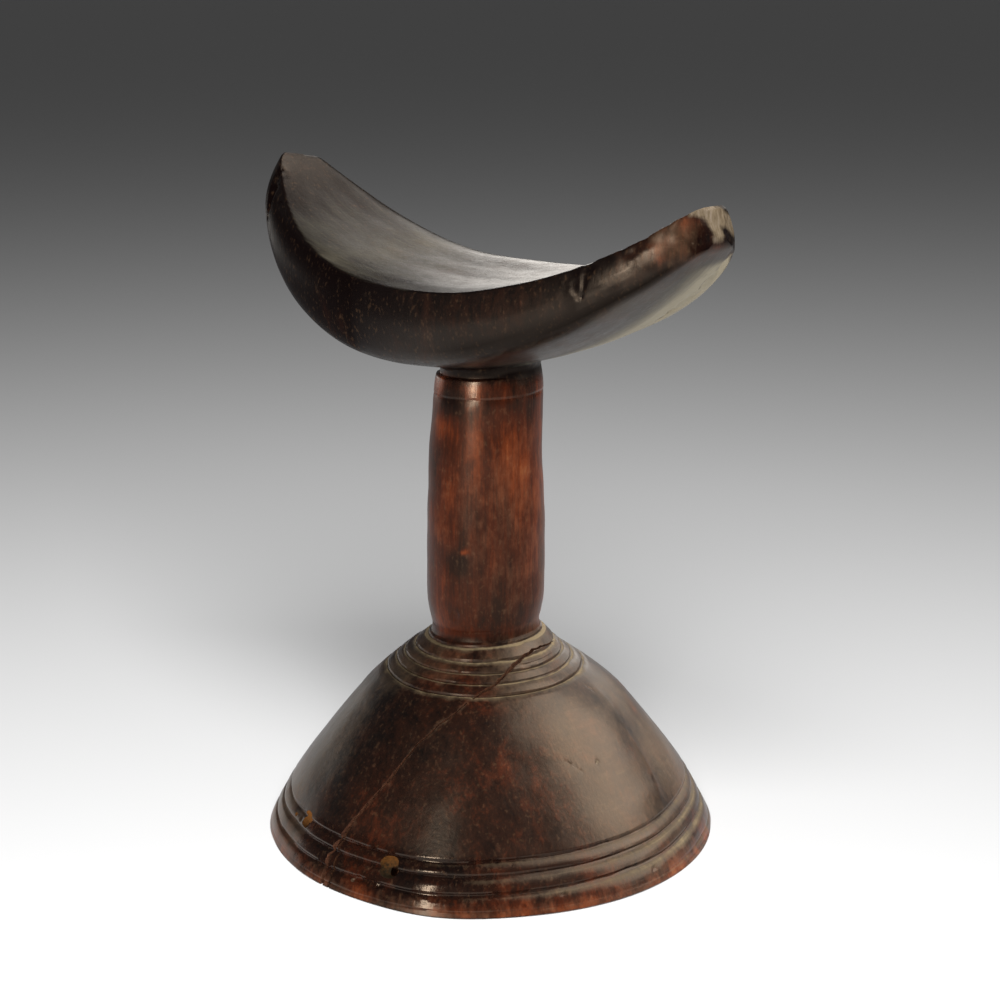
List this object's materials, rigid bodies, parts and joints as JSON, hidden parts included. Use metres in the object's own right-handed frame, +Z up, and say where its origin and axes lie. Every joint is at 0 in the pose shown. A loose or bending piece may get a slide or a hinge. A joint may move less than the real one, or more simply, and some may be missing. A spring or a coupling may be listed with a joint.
{
  "type": "carved headrest",
  "caption": "Carved wooden headrest: a crescent saddle for the neck on a stout round column and a hollow domed foot with incised rings.",
  "frame": {"origin": "on the ground under the middle of the whole piece, 2.6 mm from the foot's own middle, because one wing of the saddle reaches further out than the other", "axes": "+Z up, +X along the saddle towards its thinner, worn tip, +Y across the saddle, away from the long side with the split and the two repair holes"},
  "size_m": [0.1562, 0.1204, 0.1758],
  "materials": {
    "wood": "dark brown hardwood, polished by handling, with dust in the incised rings and bare wood at one worn tip"
  },
  "bodies": {
    "root": {"headrest": "wood"}
  },
  "joints": []
}
